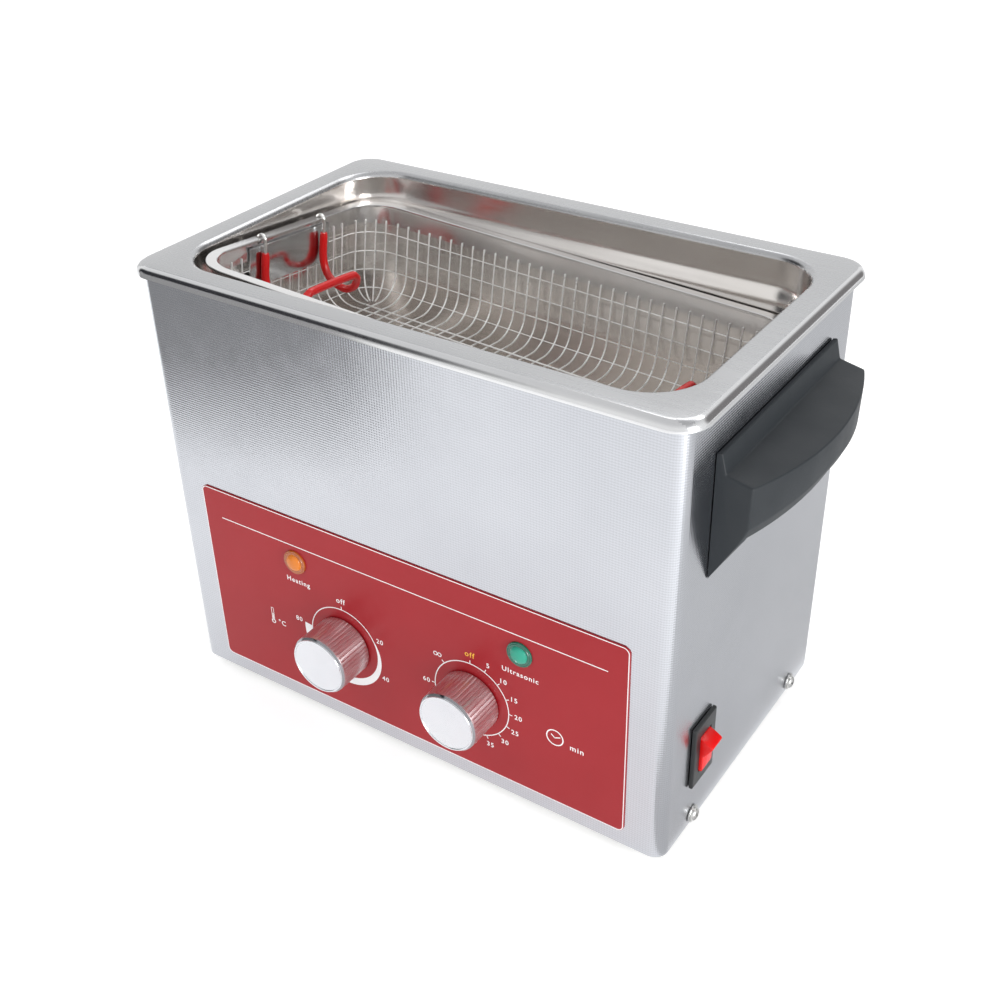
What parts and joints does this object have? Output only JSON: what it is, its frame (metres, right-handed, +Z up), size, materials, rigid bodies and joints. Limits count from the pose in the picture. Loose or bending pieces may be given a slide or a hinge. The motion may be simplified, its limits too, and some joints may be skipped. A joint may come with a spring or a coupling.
{
  "type": "ultrasonic cleaner",
  "caption": "Bench-top ultrasonic cleaner: heated steel tank in a rectangular housing, lift-out wire basket, two rotary controls, pilot lamps, side switch and carry handles.",
  "frame": {"origin": "middle of the whole footprint, control knobs included, on the surface that the feet stand on", "axes": "+X to the right along the control panel, +Y towards the back, +Z up; the control panel faces -Y"},
  "size_m": [0.3066, 0.1778, 0.2135],
  "materials": {
    "housing_steel": "pale stainless with a fine embossed linen pattern",
    "tank_steel": "satin deep-drawn stainless, brighter on the rounded edges",
    "polished_steel": "electropolished stainless strip and wire",
    "zinc_steel": "zinc-plated steel",
    "dark_steel": "plain turned steel",
    "label_film": "matt red printed film with white marks",
    "knob_aluminium": "fluted sides, spun face, bright edge",
    "black_plastic": "fine moulded black",
    "handle_plastic": "fine-grained dark slate grey moulding",
    "thermostat_cream": "moulded phenolic",
    "amber_lens": "clear amber dome",
    "green_lens": "clear green dome",
    "switch_red": "clear red moulding",
    "red_sleeve": "smooth red plastic sleeve",
    "foot_rubber": "matt black rubber",
    "gasket_rubber": "matt dark sealing strip",
    "cast_aluminium": "turned aluminium",
    "piezo_ceramic": null,
    "heater_rubber": "orange-brown silicone mat",
    "copper": null,
    "board_green": "green solder mask",
    "ferrite": "dark ferrite core",
    "capacitor_blue": "shrink-sleeved can",
    "brass_blades": "nickel-washed brass",
    "lead_black": "flexible cable sheath",
    "lead_red": "silicone-covered wire"
  },
  "bodies": {
    "root": {"housing_shell": "housing_steel", "tank": "tank_steel", "rim_gasket": "gasket_rubber", "base_plate": "zinc_steel", "foot_front_left": "foot_rubber", "foot_front_right": "foot_rubber", "foot_rear_left": "foot_rubber", "foot_rear_right": "foot_rubber", "side_screw_left_front": "zinc_steel", "side_screw_left_rear": "zinc_steel", "side_screw_right_front": "zinc_steel", "side_screw_right_rear": "zinc_steel", "control_label": "label_film", "thermostat_body": "thermostat_cream", "timer_body": "black_plastic", "heating_lamp_body": "black_plastic", "heating_lamp_lens": "amber_lens", "ultrasonic_lamp_body": "black_plastic", "ultrasonic_lamp_lens": "green_lens", "switch_frame": "black_plastic", "carry_handle_left": "handle_plastic", "carry_handle_right": "handle_plastic", "handle_screw_left_front": "zinc_steel", "handle_screw_left_rear": "zinc_steel", "handle_screw_right_front": "zinc_steel", "handle_screw_right_rear": "zinc_steel", "transducer_left_front_mass": "cast_aluminium", "transducer_left_piezo": "piezo_ceramic", "transducer_left_back_mass": "dark_steel", "transducer_left_bolt": "zinc_steel", "transducer_right_front_mass": "cast_aluminium", "transducer_right_piezo": "piezo_ceramic", "transducer_right_back_mass": "dark_steel", "transducer_right_bolt": "zinc_steel", "heater_mat_front": "heater_rubber", "heater_mat_rear": "heater_rubber", "thermostat_bulb": "copper", "generator_board": "board_green", "generator_transformer": "ferrite", "generator_capacitor": "capacitor_blue", "generator_heatsink": "cast_aluminium", "mains_inlet": "black_plastic", "inlet_blade_line": "brass_blades", "inlet_blade_neutral": "brass_blades", "inlet_blade_earth": "brass_blades", "mains_lead": "lead_black", "transducer_lead": "lead_red"},
    "temperature_control": {"temperature_knob": "knob_aluminium", "temperature_shaft": "dark_steel"},
    "timer_control": {"timer_knob": "knob_aluminium", "timer_shaft": "dark_steel"},
    "rocker": {"switch_rocker": "switch_red"},
    "basket": {"basket_flange": "polished_steel", "basket_mesh": "polished_steel", "basket_end_plate_left": "polished_steel", "basket_end_plate_right": "polished_steel"},
    "left_bail": {"left_bail_wire": "polished_steel", "left_bail_sleeve": "red_sleeve"},
    "right_bail": {"right_bail_wire": "polished_steel", "right_bail_sleeve": "red_sleeve"}
  },
  "joints": [
    {"name": "temperature_dial", "type": "hinge", "parent": "root", "child": "temperature_control", "pos_m": [-0.033, -0.0691, 0.052], "axis": [0, 1, 0], "range_deg": [0, 277]},
    {"name": "timer_dial", "type": "hinge", "parent": "root", "child": "timer_control", "pos_m": [0.0359, -0.0691, 0.052], "axis": [0, 1, 0], "range_deg": [-45, 270]},
    {"name": "power_rocker", "type": "hinge", "parent": "root", "child": "rocker", "pos_m": [0.127, -0.03835, 0.046], "axis": [0, -1, 0], "range_deg": [0, 34]},
    {"name": "basket_lift", "type": "slide", "parent": "root", "child": "basket", "axis": [0, 0, 1], "range_m": [0, 0.15]},
    {"name": "left_bail_swing", "type": "hinge", "parent": "basket", "child": "left_bail", "pos_m": [-0.11048, 0.00784, 0.20576], "axis": [0.0053, -0.9951, 0.0992], "range_deg": [0, 125]},
    {"name": "right_bail_swing", "type": "hinge", "parent": "basket", "child": "right_bail", "pos_m": [0.11041, 0.00784, 0.19405], "axis": [-0.0053, 0.9951, -0.0992], "range_deg": [0, 125]}
  ]
}
